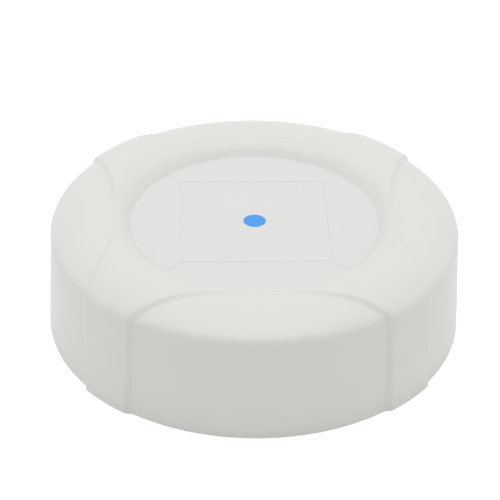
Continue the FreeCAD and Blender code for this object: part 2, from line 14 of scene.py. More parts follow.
import bmesh
import bpy
from mathutils import Matrix, Quaternion, Vector


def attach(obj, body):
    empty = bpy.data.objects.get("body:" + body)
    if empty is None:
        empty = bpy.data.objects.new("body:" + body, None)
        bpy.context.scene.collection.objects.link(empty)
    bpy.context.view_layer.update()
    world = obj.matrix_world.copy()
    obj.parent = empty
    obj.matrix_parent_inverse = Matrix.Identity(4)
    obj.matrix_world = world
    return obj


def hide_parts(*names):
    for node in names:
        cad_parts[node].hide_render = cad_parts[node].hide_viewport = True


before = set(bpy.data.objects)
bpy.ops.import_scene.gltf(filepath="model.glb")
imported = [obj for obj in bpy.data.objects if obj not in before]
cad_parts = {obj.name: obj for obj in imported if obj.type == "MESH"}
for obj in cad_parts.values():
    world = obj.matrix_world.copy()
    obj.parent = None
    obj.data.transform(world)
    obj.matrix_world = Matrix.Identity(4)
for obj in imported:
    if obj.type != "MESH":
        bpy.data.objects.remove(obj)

BMEdge, BMFace, BMVert = bmesh.types.BMEdge, bmesh.types.BMFace, bmesh.types.BMVert
BMesh = bmesh.types.BMesh
Pair = Tuple[float, float]
Point = Tuple[float, float, float]
Colour = Tuple[float, float, float]
WHITE = (1.0, 1.0, 1.0, 1.0)
MM = 0.001
FULL_TURN = 2.0 * math.pi
WELD = 2e-3
SHARP_DEGREES = 30.0
NEW_PIECES_RIDE_ON = "housing"
log = logging.getLogger("beacon")


class Slot(Enum):
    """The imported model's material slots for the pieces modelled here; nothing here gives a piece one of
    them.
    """

    SHELL = "shell_plastic"
    LABEL = "label_film"
    SCREWS = "screw_steel"


# Shader graphs


def shade(colour: Colour, factor: float) -> Colour:
    """A colour made darker or lighter by a factor."""
    return tuple(min(part * factor, 1.0) for part in colour)


@dataclass(frozen=True)
class Clouds:
    """Noise from 0 to 1: the size of its patches, how many finer layers it has and how strong those are."""

    size_mm: float
    detail: float = 2.0
    rough: float = 0.5


@dataclass(frozen=True)
class Field:
    """A value that varies over a surface; arithmetic on it adds Math nodes to its graph."""

    graph: "Graph"
    socket: bpy.types.NodeSocket

    def _math(self, operation: str, *values: Any) -> "Field":
        """Add one Math node whose operands, in order, are fields or numbers."""
        return self.graph.node("ShaderNodeMath", {"operation": operation}, dict(enumerate(values)))

    def __add__(self, other: Any) -> "Field":
        """This plus other."""
        return self._math("ADD", self, other)

    __radd__ = __add__

    def __sub__(self, other: Any) -> "Field":
        """This minus other."""
        return self._math("SUBTRACT", self, other)

    def __rsub__(self, other: Any) -> "Field":
        """Other minus this."""
        return self._math("SUBTRACT", other, self)

    def __mul__(self, other: Any) -> "Field":
        """This times other."""
        return self._math("MULTIPLY", self, other)

    __rmul__ = __mul__

    def __abs__(self) -> "Field":
        """The absolute value."""
        return self._math("ABSOLUTE", self)

    def least(self, other: Any) -> "Field":
        """The smaller of this and other."""
        return self._math("MINIMUM", self, other)

    def greatest(self, other: Any) -> "Field":
        """The larger of this and other."""
        return self._math("MAXIMUM", self, other)

    def root(self) -> "Field":
        """The square root."""
        return self._math("SQRT", self)

    def to_and_fro(self, reach: float) -> "Field":
        """A wave of straight flanks that climbs from 0 to reach and falls back."""
        return self._math("PINGPONG", self, reach)

    def spread(self, low: float, high: float) -> "Field":
        """The value low where this is 0, and high where it is 1."""
        return low + (high - low) * self

    def above(self, edge: float, soft: float) -> "Field":
        """Tell the values above an edge from those below it.

        Args:
            edge: where the change lies.
            soft: how far it spreads on either side.

        Returns:
            1 above the edge and 0 below it, with a smooth step between.
        """
        settings = {"interpolation_type": "SMOOTHSTEP"}
        inputs = {"Value": self, "From Min": edge - soft, "From Max": edge + soft}
        return self.graph.node("ShaderNodeMapRange", settings, inputs)

    def below(self, edge: float, soft: float) -> "Field":
        """1 below an edge and 0 above it, with a smooth step between."""
        return 1.0 - self.above(edge, soft)


class Graph:
    """The node tree of a material or of the world, with the few patterns that the beacon's finishes share."""

    def __init__(self, name: str, world: bool = False) -> None:
        """Start an empty node tree.

        Args:
            name: the material's or the world's name.
            world: whether the tree belongs to a world and not to a material.
        """
        self.owner = (bpy.data.worlds if world else bpy.data.materials).new(name)
        self.owner.use_nodes = True
        self.tree = self.owner.node_tree
        self.tree.nodes.clear()

    def node(
        self,
        kind: str,
        settings: Mapping[str, Any],
        inputs: Mapping[Any, Any],
        output: Union[int, str] = 0,
    ) -> Field:
        """Add any node.

        Args:
            kind: the node's type.
            settings: its properties, set first.
            inputs: values or fields of its sockets, by name or number.
            output: the output that is wanted.

        Returns:
            That output as a field.
        """
        made = self.tree.nodes.new(kind)
        for key, value in settings.items():
            setattr(made, key, value)
        for key, value in inputs.items():
            if isinstance(value, Field):
                self.tree.links.new(value.socket, made.inputs[key])
            else:
                made.inputs[key].default_value = value
        return Field(self, made.outputs[output])

    def place(self) -> Field:
        """The point on the object, in metres of the model's frame."""
        return self.node("ShaderNodeTexCoord", {}, {}, "Object")

    def axes(self) -> Tuple[Field, Field, Field]:
        """The point's three coordinates in millimetres."""
        point = self.node("ShaderNodeVectorMath", {"operation": "SCALE"}, {0: self.place(), "Scale": 1 / MM})
        return tuple(self.node("ShaderNodeSeparateXYZ", {}, {0: point}, side) for side in "XYZ")

    def grid(self, size_mm: float) -> Dict[str, Any]:
        """The inputs that place a pattern on the object at a size."""
        return {"Vector": self.place(), "Scale": 1 / (size_mm * MM)}

    def noise(self, clouds: Clouds) -> Field:
        """Cloudy noise from 0 to 1."""
        layers = {"Detail": clouds.detail, "Roughness": clouds.rough}
        return self.node("ShaderNodeTexNoise", {}, {**self.grid(clouds.size_mm), **layers})

    def cells(self, size_mm: float) -> Field:
        """Distance to the nearest of scattered points, for a grained surface."""
        return self.node("ShaderNodeTexVoronoi", {"feature": "F1"}, self.grid(size_mm), "Distance")

    def squares(self, size_mm: float) -> Field:
        """A pattern of squares that are 0 and 1 by turns."""
        return self.node("ShaderNodeTexChecker", {}, self.grid(size_mm), 1)

    def blend(self, amount: Union[Field, float], first: Any, second: Any) -> Field:
        """A colour between two.

        Args:
            amount: 0 gives the first and 1 the second.
            first: a colour or a field.
            second: a colour or a field.

        Returns:
            The blended colour.
        """
        sides = {6: first, 7: second}
        whole = {key: value if isinstance(value, Field) else (*value, 1.0) for key, value in sides.items()}
        return self.node("ShaderNodeMix", {"data_type": "RGBA"}, {0: amount, **whole}, 2)

    def tint(self, amount: Field, colour: Colour, tones: Pair) -> Field:
        """A colour that varies between two tones of itself.

        Args:
            amount: 0 gives the first tone and 1 the second.
            colour: the plain colour.
            tones: the factors by which the tones are darker or lighter than it.

        Returns:
            The varied colour.
        """
        return self.blend(amount, shade(colour, tones[0]), shade(colour, tones[1]))

    def relief(self, height: Field, depth_mm: float) -> Field:
        """A shader's normal, bumped by a height from 0 to 1 that stands for depth_mm."""
        return self.node("ShaderNodeBump", {}, {"Height": height, "Distance": depth_mm * MM, "Strength": 1.0})

    def finish(self, **sockets: Any) -> bpy.types.Material:
        """Close the graph with a Principled shader.

        Args:
            sockets: its values or fields, with underscores for the spaces in their names.

        Returns:
            The material.
        """
        named = {key.replace("_", " "): value for key, value in sockets.items()}
        for key in ("Base Color", "Emission Color"):
            if key in named and not isinstance(named[key], Field):
                named[key] = (*named[key], 1.0)
        self.send(self.node("ShaderNodeBsdfPrincipled", {}, named))
        return self.owner

    def send(self, shader: Field, output_kind: str = "ShaderNodeOutputMaterial") -> None:
        """Send a shader to a new output node."""
        output = self.tree.nodes.new(output_kind)
        self.tree.links.new(shader.socket, output.inputs["Surface"])

    def seen_directly(self) -> Field:
        """Tell rays from the camera, or from metal and glass, from those that carry light.

        Returns:
            1 on the former and 0 on the latter.
        """
        names = ("Is Camera Ray", "Is Glossy Ray", "Is Transmission Ray")
        camera, glossy, clear = (self.node("ShaderNodeLightPath", {}, {}, name) for name in names)
        return camera.greatest(glossy).greatest(clear)


# Finishes


class Finish(Protocol):
    """Anything that can make one material."""

    name: str

    def material(self) -> bpy.types.Material:
        """Make the material."""


@dataclass(frozen=True)
class MouldedPlastic:
    """Injection-moulded plastic with the fine matt grain of a spark-eroded mould."""

    name: str
    colour: Colour
    roughness: float = 0.5
    grain_mm: float = 0.22
    grain_depth_mm: float = 0.012
    mottle: float = 0.02
    grain_layers: Pair = (3.0, 0.65)
    fine_height: float = 0.6
    pit_height: float = 0.5
    pit_size: float = 1.6
    clouds: Clouds = Clouds(7.0, 3.0, 0.55)
    cloud_share: float = 0.55
    rough_spread: float = 0.05
    ior: float = 1.46

    def material(self) -> bpy.types.Material:
        """Make the material.

        Returns:
            The new material.
        """
        graph = Graph(self.name)
        fine = graph.noise(Clouds(self.grain_mm, *self.grain_layers))
        pits = graph.cells(self.grain_mm * self.pit_size)
        cloud = graph.noise(self.clouds)
        tone = cloud * self.cloud_share + fine * (1.0 - self.cloud_share)
        return graph.finish(
            Base_Color=graph.tint(tone, self.colour, (1.0 - self.mottle, 1.0 + self.mottle)),
            Roughness=cloud.spread(self.roughness - self.rough_spread, self.roughness + self.rough_spread),
            Normal=graph.relief(fine * self.fine_height + pits * self.pit_height, self.grain_depth_mm),
            IOR=self.ior,
        )


@dataclass(frozen=True)
class LabelFilm:
    """Smooth film with one plain printed round dot, and a square of fine lines and corner lines whose darker
    colour is painted shade of their pressed-in grooves.
    """

    name: str
    colour: Colour
    # painted shade: the pressed-in lines' colour, darker as if their grooves lay in shade
    line_shade_colour: Colour
    mark_colour: Colour
    square_half: float = 14.92
    line_width: float = 0.36
    line_soft: float = 0.06
    dot_radius: float = 2.3
    dot_soft: float = 0.04
    corner_soft: float = 0.01
    clouds: Clouds = Clouds(9.0)
    tones: Pair = (0.992, 1.008)
    skin: Clouds = Clouds(0.5)
    skin_height: float = 0.03
    ink_height: float = 0.06
    depth_mm: float = 0.05
    roughs: Pair = (0.5, 0.56)
    ink_gloss: float = 0.1
    ior: float = 1.5

    def to_line(self, x: Field, y: Field) -> Field:
        """Measure how far a point lies from the nearest line.

        Args:
            x: the point's first coordinate.
            y: the point's second coordinate.

        Returns:
            The distance in millimetres; the corner lines count only outside the square.
        """
        reach = abs(x).greatest(abs(y))
        square = abs(reach - self.square_half)
        diagonal = abs(abs(x) - abs(y)) * math.sqrt(0.5)
        inside = reach.below(self.square_half - self.corner_soft, self.corner_soft)
        return square.least(diagonal + inside * (2.0 * self.square_half))

    def material(self) -> bpy.types.Material:
        """Make the material.

        Returns:
            The new material.
        """
        graph = Graph(self.name)
        x, y, _ = graph.axes()
        line = self.to_line(x, y).below(self.line_width / 2, self.line_soft)
        mark = (x * x + y * y).root().below(self.dot_radius, self.dot_soft)
        cloud = graph.noise(self.clouds)
        # the lines get painted shade, darker than the film where the grooves are pressed in
        ruled = graph.blend(line, graph.tint(cloud, self.colour, self.tones), self.line_shade_colour)
        height = graph.noise(self.skin) * self.skin_height + mark * self.ink_height
        return graph.finish(
            Base_Color=graph.blend(mark, ruled, self.mark_colour),
            Roughness=cloud.spread(*self.roughs) - self.ink_gloss * mark,
            Normal=graph.relief(height, self.depth_mm),
            IOR=self.ior,
        )


@dataclass(frozen=True)
class PlatedMetal:
    """Thin plated metal with faint rolling marks."""

    name: str
    colour: Colour
    roughness: float = 0.3
    grain_mm: float = 0.4
    grain_layers: Pair = (3.0, 0.6)
    grain_depth_mm: float = 0.004
    wear: Clouds = Clouds(3.0, 4.0, 0.6)
    tones: Pair = (0.93, 1.05)
    rough_spread: float = 0.08

    def material(self) -> bpy.types.Material:
        """Make the material.

        Returns:
            The new material.
        """
        graph = Graph(self.name)
        wear = graph.noise(self.wear)
        grain = graph.noise(Clouds(self.grain_mm, *self.grain_layers))
        return graph.finish(
            Base_Color=graph.tint(wear, self.colour, self.tones),
            Metallic=1.0,
            Roughness=wear.spread(self.roughness - self.rough_spread, self.roughness + self.rough_spread),
            Normal=graph.relief(grain, self.grain_depth_mm),
        )


@dataclass(frozen=True)
class SoftRubber:
    """Matt moulded rubber."""

    name: str
    colour: Colour
    dust: Clouds = Clouds(1.5, 4.0, 0.6)
    tones: Pair = (1.0, 1.5)
    skin: Clouds = Clouds(0.15, 2.0, 0.6)
    depth_mm: float = 0.02
    roughs: Pair = (0.8, 0.9)

    def material(self) -> bpy.types.Material:
        """Make the material.

        Returns:
            The new material.
        """
        graph = Graph(self.name)
        dust = graph.noise(self.dust)
        return graph.finish(
            Base_Color=graph.tint(dust, self.colour, self.tones),
            Roughness=dust.spread(*self.roughs),
            Normal=graph.relief(graph.noise(self.skin), self.depth_mm),
        )


@dataclass(frozen=True)
class BoardLaminate:
    """Solder mask over copper, with a faint weave, lighter lines for the tracks and a bare copper ring."""

    name: str
    colour: Colour
    copper: Colour
    tones: Pair = (1.0, 2.0)
    weave_mm: float = 0.4
    weave_tone: float = 0.12
    weave_height: float = 0.05
    track_slant: float = 0.5
    track_pitch: float = 2.4
    track_half: float = 0.21
    track_soft: float = 0.03
    track_tone: float = 0.5
    track_depth_mm: float = 0.035
    routed: Clouds = Clouds(9.0, 1.0, 0.4)
    routed_above: float = 0.53
    top: float = 5.13
    ring_radius: float = 37.6
    ring_half: float = 0.35
    ring_soft: float = 0.05
    ring_share: float = 0.8
    roughs: Pair = (0.35, 0.5)
    ior: float = 1.5

    def material(self) -> bpy.types.Material:
        """Make the material.

        Returns:
            The new material.
        """
        graph = Graph(self.name)
        x, y, z = graph.axes()
        weave = graph.squares(self.weave_mm)
        across = (x + y * self.track_slant).to_and_fro(self.track_pitch / 2)
        routed = graph.noise(self.routed).above(self.routed_above, self.track_soft)
        track = across.below(self.track_half, self.track_soft) * routed
        mask = graph.tint(weave * self.weave_tone + track * self.track_tone, self.colour, self.tones)
        to_ring = abs((x * x + y * y).root() - self.ring_radius)
        ring = to_ring.below(self.ring_half, self.ring_soft) * z.above(self.top, self.track_soft)
        return graph.finish(
            Base_Color=graph.blend(ring * self.ring_share, mask, self.copper),
            Roughness=weave.spread(*self.roughs),
            Normal=graph.relief(track + weave * self.weave_height, self.track_depth_mm),
            IOR=self.ior,
        )


@dataclass(frozen=True)
class CellSleeve:
    """A dry cell's plain printed sleeve between bare steel ends; direction is the raised pole's side."""

    name: str
    sleeve: Colour
    band: Colour
    direction: int
    steel: Colour = (0.72, 0.72, 0.7)
    half_length: float = 25.25
    cap_length: float = 1.7
    foot_length: float = 0.5
    band_length: float = 13.9
    end_soft: float = 0.05
    band_soft: float = 0.1
    scuffs: Clouds = Clouds(2.5, 4.0, 0.6)
    scuff_share: float = 0.12
    scuff_colour: Colour = (0.8, 0.8, 0.8)
    roughs: Pair = (0.28, 0.4)
    skin: Clouds = Clouds(0.6)
    skin_depth_mm: float = 0.01
    coat: float = 0.3

    def material(self) -> bpy.types.Material:
        """Make the material.

        Returns:
            The new material.
        """
        graph = Graph(self.name)
        _, y, _ = graph.axes()
        along = y * float(self.direction)
        cap = along.above(self.half_length - self.cap_length, self.end_soft)
        foot = along.below(self.foot_length - self.half_length, self.end_soft)
        bare = cap.greatest(foot)
        band = along.above(self.half_length - self.band_length, self.band_soft)
        scuff = graph.noise(self.scuffs)
        ink = graph.blend(band, self.sleeve, self.band)
        worn = graph.blend(scuff * self.scuff_share, ink, self.scuff_colour)
        return graph.finish(
            Base_Color=graph.blend(bare, worn, self.steel),
            Metallic=bare,
            Roughness=scuff.spread(*self.roughs),
            Normal=graph.relief(graph.noise(self.skin), self.skin_depth_mm),
            Coat_Weight=self.coat - self.coat * bare,
        )


@dataclass(frozen=True)
class GlowLens:
    """Clear cast resin over a small lamp, unlit."""

    name: str
    colour: Colour
    flow: Clouds = Clouds(0.8)
    tones: Pair = (1.0, 0.9)
    roughs: Pair = (0.12, 0.22)
    ior: float = 1.52
    coat: float = 0.5

    def material(self) -> bpy.types.Material:
        """Make the material.

        Returns:
            The new material.
        """
        graph = Graph(self.name)
        flow = graph.noise(self.flow)
        return graph.finish(
            Base_Color=graph.tint(flow, self.colour, self.tones),
            Roughness=flow.spread(*self.roughs),
            IOR=self.ior,
            Coat_Weight=self.coat,
        )


HOUSING_WHITE = MouldedPlastic("housing_white", (0.765, 0.757, 0.727))
BASE_WHITE = MouldedPlastic("base_white", (0.75, 0.745, 0.72), 0.66, 0.3)
HOLDER_BLACK = MouldedPlastic("holder_black", (0.035, 0.035, 0.038), mottle=0.15)
CHIP_BLACK = MouldedPlastic("chip_black", (0.03, 0.03, 0.032), 0.45, 0.1, mottle=0.1)
CERAMIC_CREAM = MouldedPlastic("ceramic_cream", (0.72, 0.70, 0.62), 0.3, 0.15, 0.004)
BUTTON_BLACK = MouldedPlastic("button_black", (0.03, 0.03, 0.03), mottle=0.1)
PLUNGER_WHITE = MouldedPlastic("plunger_white", (0.75, 0.75, 0.72), 0.45, grain_depth_mm=0.004)
SLIDER_BLACK = MouldedPlastic("slider_black", (0.03, 0.03, 0.03), 0.4, mottle=0.1)
CAPACITOR_YELLOW = MouldedPlastic("capacitor_yellow", (0.62, 0.38, 0.05), 0.4, 0.1)
FERRITE_GREY = MouldedPlastic("ferrite_grey", (0.06, 0.06, 0.065), 0.7, 0.12, mottle=0.2)
SEAL_RUBBER = SoftRubber("seal_rubber", (0.035, 0.035, 0.036))
BOARD_GREEN = BoardLaminate("board_green", (0.012, 0.085, 0.04), (0.75, 0.52, 0.22))
LAMP_RESIN = GlowLens("lamp_resin", (0.85, 0.84, 0.72))
# the label's second colour is the painted shade of its pressed-in lines
LABEL_WHITE = LabelFilm("label_white", (0.745, 0.745, 0.73), (0.718, 0.718, 0.703), (0.03, 0.30, 0.82))
ZINC = PlatedMetal("zinc_plate", (0.62, 0.63, 0.64), 0.34)
NICKEL = PlatedMetal("nickel_plate", (0.70, 0.68, 0.63), 0.26)
TIN = PlatedMetal("tin_plate", (0.74, 0.74, 0.72), 0.32, 0.7)


# Mesh work


def corners_only(parts: Sequence[Any]) -> List[BMVert]:
    """The vertices among an operator's results."""
    return [part for part in parts if isinstance(part, BMVert)]


def edges_between(parts: Sequence[Any], verts: Sequence[BMVert]) -> List[BMEdge]:
    """The edges among an operator's results that join two of the given vertices."""
    edges = [part for part in parts if isinstance(part, BMEdge)]
    return [edge for edge in edges if all(vert in verts for vert in edge.verts)]


class Section:
    """An open profile in the XZ plane, drawn by extruding and spinning its last point."""

    def __init__(self, x: float, z: float) -> None:
        """Start a profile.

        Args:
            x: distance from the axis of the first point.
            z: its height.
        """
        self.mesh = bmesh.new()
        self.tip = self.mesh.verts.new((x, 0.0, z))

    def line(self, x: float, z: float, steps: int = 1) -> "Section":
        """Draw a straight run.

        Args:
            x: distance from the axis where it ends.
            z: height where it ends.
            steps: how many edges it is made of.

        Returns:
            The section, for chaining.
        """
        move = (Vector((x, 0.0, z)) - self.tip.co) / steps
        for _ in range(steps):
            grown = bmesh.ops.extrude_vert_indiv(self.mesh, verts=[self.tip])
            self.tip = grown["verts"][0]
            bmesh.ops.translate(self.mesh, verts=[self.tip], vec=move)
        return self

    def arc(self, x: float, z: float, degrees: float, steps: int) -> "Section":
        """Draw an arc about a centre.

        Args:
            x: the centre's distance from the axis.
            z: the centre's height.
            degrees: how far the point swings, positive from +X towards -Z.
            steps: how many edges it is made of.

        Returns:
            The section, for chaining.
        """
        swung = bmesh.ops.spin(
            self.mesh,
            geom=[self.tip],
            cent=(x, 0.0, z),
            axis=(0.0, 1.0, 0.0),
            angle=math.radians(degrees),
            steps=steps,
            use_merge=False,
        )
        self.tip = corners_only(swung["geom_last"])[0]
        return self

    def turned(self, steps: int, turn: float = FULL_TURN) -> BMesh:
        """Spin the profile about the upright axis.

        Args:
            steps: how many sectors the turn has.
            turn: how far it goes, in radians.

        Returns:
            The mesh, closed where the turn is full.
        """
        mesh = self.mesh
        bmesh.ops.spin(
            mesh,
            geom=mesh.verts[:] + mesh.edges[:],
            cent=(0.0, 0.0, 0.0),
            axis=(0.0, 0.0, 1.0),
            angle=turn,
            steps=steps,
            use_merge=turn == FULL_TURN,
        )
        return welded(mesh)


def welded(mesh: BMesh) -> BMesh:
    """Join points that coincide and turn the faces outward.

    Args:
        mesh: the mesh.

    Returns:
        The same mesh.
    """
    bmesh.ops.remove_doubles(mesh, verts=mesh.verts[:], dist=WELD)
    bmesh.ops.recalc_face_normals(mesh, faces=mesh.faces[:])
    return mesh


def joined(parts: Sequence[BMesh]) -> BMesh:
    """Put several meshes in one.

    Args:
        parts: the meshes, which are freed.

    Returns:
        The mesh that holds them all.
    """
    whole = bmesh.new()
    for part in parts:
        data = bpy.data.meshes.new("part")
        part.to_mesh(data)
        part.free()
        whole.from_mesh(data)
        bpy.data.meshes.remove(data)
    return whole


def round_copies(mesh: BMesh, count: int) -> BMesh:
    """Repeat a mesh round the upright axis through the origin.

    Args:
        mesh: the first of them.
        count: how many there are in all.

    Returns:
        The same mesh with its copies.
    """
    first = mesh.verts[:] + mesh.edges[:] + mesh.faces[:]
    for turn in range(1, count):
        copied = bmesh.ops.duplicate(mesh, geom=first)
        spin = Matrix.Rotation(FULL_TURN * turn / count, 3, "Z")
        bmesh.ops.rotate(mesh, verts=corners_only(copied["geom"]), cent=(0.0, 0.0, 0.0), matrix=spin)
    return mesh


def publish(
    mesh: BMesh,
    name: str,
    finish: Finish,
    stands_for: Sequence[str],
) -> bpy.types.Object:
    """Turn a finished mesh in millimetres into a piece of the beacon.

    Args:
        mesh: the mesh, which is freed.
        name: the piece's name.
        finish: what it is made of.
        stands_for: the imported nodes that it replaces.

    Returns:
        The piece.
    """
    bmesh.ops.scale(mesh, vec=(MM, MM, MM), verts=mesh.verts[:])
    data = bpy.data.meshes.new(name)
    mesh.to_mesh(data)
    mesh.free()
    data.shade_smooth()
    data.set_sharp_from_angle(angle=math.radians(SHARP_DEGREES))
    data.materials.append(finish.material())
    piece = bpy.data.objects.new(name, data)
    bpy.context.scene.collection.objects.link(piece)
    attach(piece, NEW_PIECES_RIDE_ON)
    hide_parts(*stands_for)
    log.info("%s: %d vertices, %d faces", name, len(data.vertices), len(data.polygons))
    return piece


# The housing


@dataclass(frozen=True)
class Slope:
    """One arc of the way down from the crown to the label.

    The radius is negative where the arc is hollow, ends_at is how steep it is at its lower end, in degrees,
    and steps is how many edges it has.
    """

    radius: float
    ends_at: float
    steps: int


@dataclass
class Housing:
    """The moulded upper housing: a raised ring and four arms around four shallower lobes."""

    body_radius: float = 42.5
    step_height: float = 0.75
    draft_degrees: float = 2.37
    crown_centre: Pair = (33.15, 10.3)
    crown_radius: float = 14.6
    edge_radius: float = 2.1
    foot_radius: float = 0.3
    foot_steps: int = 5
    wall_steps: int = 4
    edge_steps: int = 8
    crown_steps: int = 48
    slope_start: float = 28.6
    slopes: Tuple[Slope, ...] = (Slope(6.2, 42.0, 14), Slope(14.56, 46.5, 5), Slope(-0.14, 6.0, 4))
    recess_radius: float = 25.37
    recess_floor: float = 22.3
    ceiling: float = 21.1
    ceiling_radius: float = 26.8
    hollow_top: float = 22.9
    hollow_inner_radius: float = 30.2
    hollow_outer_radius: float = 35.0
    shoulder: float = 20.2
    cavity_radius: float = 39.9
    rim_shelf: float = 2.3
    rim_radius: float = 41.2
    lobe_apex: float = 27.65
    lobe_arc_radius: float = 56.0
    lobe_count: int = 4
    ramp_width: float = 0.9
    ramp_softness: float = 0.1
    sectors: int = 900
    boss_circle: float = 35.5
    boss_radius: float = 3.25
    boss_bore: float = 1.25
    boss_foot: float = 3.6
    boss_top: float = 22.95
    boss_sectors: int = 48
    gusset_size: Point = (1.6, 1.4, 17.6)
    gusset_place: Point = (39.2, 0.0, 12.4)

    def __post_init__(self) -> None:
        """Work out the frame's section, which lies one step outside the lobes' section."""
        self.draft = math.radians(self.draft_degrees)
        self.wall = self.body_radius + self.step_height
        self.crown = self.crown_radius + self.step_height
        self.edge = self.edge_radius + self.step_height
        centre = Vector(self.crown_centre)
        normal = Vector((math.cos(self.draft), math.sin(self.draft)))
        along = Vector((-math.sin(self.draft), math.cos(self.draft)))
        out = self.wall * math.cos(self.draft) - self.edge - centre.dot(normal)
        rise = math.sqrt((self.crown - self.edge) ** 2 - out**2)
        self.edge_centre = centre + normal * out + along * rise
        self.join_angle = math.atan2(self.edge_centre.y - centre.y, self.edge_centre.x - centre.x)
        self.lip_angle = math.acos((self.slope_start - centre.x) / self.crown)
        inward = Vector((math.cos(self.lip_angle), math.sin(self.lip_angle)))
        self.slope_centre = centre + inward * (self.crown - self.slopes[0].radius)

    def outward(self, radius: float, height: float) -> Optional[Vector]:
        """The section's normal at a point of the outside.

        Args:
            radius: the point's distance from the axis.
            height: its height.

        Returns:
            The normal as (radial, upward), or None away from the outside.
        """
        point = Vector((radius, height))
        slope = self.slopes[0]
        off_arc, off_angle, off_wall, past_edge = 2e-3, 1e-3, 0.05, 0.5
        for centre, size, low, high in (
            (self.slope_centre, slope.radius, self.lip_angle, math.radians(90.0 + slope.ends_at)),
            (Vector(self.crown_centre), self.crown, self.join_angle, self.lip_angle),
            (self.edge_centre, self.edge, self.draft, self.join_angle),
        ):
            arm = point - centre
            angle = math.atan2(arm.y, arm.x)
            if abs(arm.length - size) < off_arc and low - off_angle <= angle <= high + off_angle:
                return arm.normalized()
        wall_radius = self.wall - height * math.tan(self.draft)
        on_wall = abs(radius - wall_radius) < self.foot_radius + off_wall
        if on_wall and height < self.edge_centre.y + past_edge:
            return Vector((math.cos(self.draft), math.sin(self.draft)))
        return None

    def lobe_amount(self, x: float, y: float) -> float:
        """How far a point lies down the step, seen from above.

        Args:
            x: the point's first coordinate.
            y: the point's second coordinate.

        Returns:
            0 on the raised frame, 1 on a lobe, and a straight ramp with rounded ends between.
        """
        far, near = max(abs(x), abs(y)), min(abs(x), abs(y))
        inside = self.lobe_arc_radius - math.hypot(far - self.lobe_apex - self.lobe_arc_radius, near)
        along = inside / self.ramp_width
        soft = self.ramp_softness
        corner = 30.0 * soft

        def eased(value: float) -> float:
            """Zero far below 0 and the value itself far above, with a rounded corner between."""
            return soft * math.log1p(math.exp(value / soft)) if abs(value) <= corner else max(value, 0.0)

        return eased(along) - eased(along - 1.0)

    def outer_section(self) -> Section:
        """Draw the frame's outside, from the rim at the foot over the crown to the label's recess.

        Returns:
            The open profile.
        """
        foot = self.foot_radius
        edge = self.edge_centre
        wall_top = edge + Vector((math.cos(self.draft), math.sin(self.draft))) * self.edge
        foot_x = self.wall - foot * (1.0 + math.sin(self.draft)) / math.cos(self.draft)
        section = Section(self.rim_radius, 0.0).line(foot_x, 0.0)
        section.arc(foot_x, foot, -90.0 - self.draft_degrees, self.foot_steps)
        section.line(wall_top.x, wall_top.y, self.wall_steps)
        section.arc(edge.x, edge.y, self.draft_degrees - math.degrees(self.join_angle), self.edge_steps)
        section.arc(*self.crown_centre, math.degrees(self.join_angle - self.lip_angle), self.crown_steps)
        lean = math.degrees(self.lip_angle) - 90.0
        for slope in self.slopes:
            across, up = math.sin(math.radians(lean)), math.cos(math.radians(lean))
            tip = section.tip.co
            centre_x, centre_z = tip.x + across * slope.radius, tip.z - up * slope.radius
            section.arc(centre_x, centre_z, lean - slope.ends_at, slope.steps)
            lean = slope.ends_at
        log.info("the slope meets the label at %.3f, %.3f", section.tip.co.x, section.tip.co.z)
        return section.line(self.recess_radius, self.recess_floor).line(0.0, self.recess_floor)

    def close_inside(self, section: Section) -> Section:
        """Draw the cavity from under the label back to the rim at the foot.

        Args:
            section: the outside's profile.

        Returns:
            The same profile, closed.
        """
        section.line(0.0, self.ceiling).line(self.ceiling_radius, self.ceiling)
        section.line(self.hollow_inner_radius, self.hollow_top)
        section.line(self.hollow_outer_radius, self.hollow_top)
        section.line(self.cavity_radius, self.shoulder).line(self.cavity_radius, self.rim_shelf)
        return section.line(self.rim_radius, self.rim_shelf).line(self.rim_radius, 0.0)

    def press_lobes(self, mesh: BMesh) -> None:
        """Sink the outside along its own normals wherever a lobe lies.

        Args:
            mesh: the section's turned quarter.
        """
        foot_top = self.foot_radius + 1e-3
        for vert in mesh.verts:
            radius = math.hypot(vert.co.x, vert.co.y)
            normal = self.outward(radius, vert.co.z)
            if normal is None:
                continue
            depth = self.step_height * self.lobe_amount(vert.co.x, vert.co.y)
            if vert.co.z < foot_top:
                normal = Vector((1.0, 0.0))
            vert.co.x -= depth * normal.x * vert.co.x / radius
            vert.co.y -= depth * normal.x * vert.co.y / radius
            vert.co.z -= depth * normal.y

    def shell(self) -> BMesh:
        """Spin a quarter of the section, press the lobes into it and repeat it all round.

        Returns:
            The closed shell.
        """
        section = self.close_inside(self.outer_section())
        mesh = section.turned(self.sectors // self.lobe_count, FULL_TURN / self.lobe_count)
        self.press_lobes(mesh)
        return welded(round_copies(mesh, self.lobe_count))

    def bosses(self) -> BMesh:
        """The four screw bosses and the gussets that tie them to the wall.

        Returns:
            Their mesh.
        """
        tube = Section(self.boss_bore, self.boss_foot).line(self.boss_radius, self.boss_foot)
        tube.line(self.boss_radius, self.boss_top).line(self.boss_bore, self.boss_top)
        boss = tube.line(self.boss_bore, self.boss_foot).turned(self.boss_sectors)
        bmesh.ops.translate(boss, verts=boss.verts[:], vec=(self.boss_circle, 0.0, 0.0))
        gusset = bmesh.new()
        bmesh.ops.create_cube(gusset, size=1.0)
        bmesh.ops.scale(gusset, vec=self.gusset_size, verts=gusset.verts[:])
        bmesh.ops.translate(gusset, vec=self.gusset_place, verts=gusset.verts[:])
        return round_copies(joined([boss, gusset]), self.lobe_count)

    def build(self) -> bpy.types.Object:
        """Model the housing and publish it."""
        mesh = joined([self.shell(), self.bosses()])
        return publish(mesh, "moulded_housing", HOUSING_WHITE, ["top_shell"])


